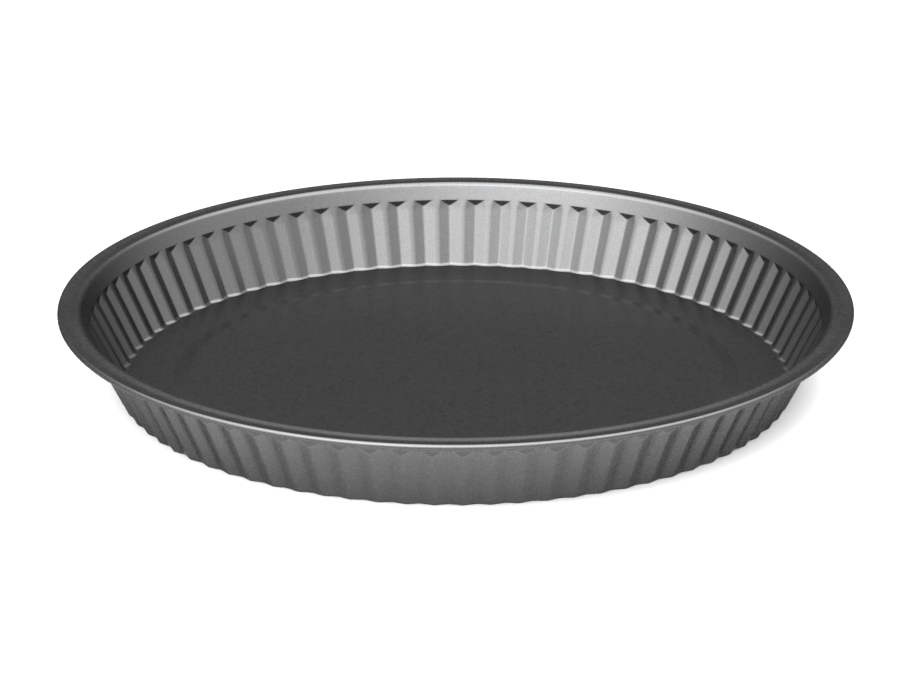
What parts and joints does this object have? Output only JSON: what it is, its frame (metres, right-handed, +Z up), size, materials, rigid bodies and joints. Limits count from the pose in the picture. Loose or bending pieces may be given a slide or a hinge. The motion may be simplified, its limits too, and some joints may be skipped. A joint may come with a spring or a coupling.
{
  "type": "tart pan",
  "caption": "Round fluted tart pan with sloping wall, flanged rim rolled round a wire, and a lift-out base disc with a slightly raised centre.",
  "frame": {"origin": "centre of the pan on the plane it stands on (underside of the ring's lip)", "axes": "+Z up along the pan's axis; +Y to the back, +X to the right"},
  "size_m": [0.3, 0.3, 0.0316],
  "materials": {
    "nonstick_ring": "dark grey metallic non-stick coating, semi-gloss with fine flake",
    "nonstick_base": "dark grey metallic non-stick coating, semi-gloss with fine flake",
    "wire_steel": "plain drawn steel wire"
  },
  "bodies": {
    "ring": {"fluted_ring": "nonstick_ring", "rim_wire": "wire_steel"},
    "base": {"loose_base": "nonstick_base"}
  },
  "joints": [
    {"name": "base_lift", "type": "slide", "parent": "ring", "child": "base", "axis": [0, 0, 1], "range_m": [0, 0.06]}
  ]
}
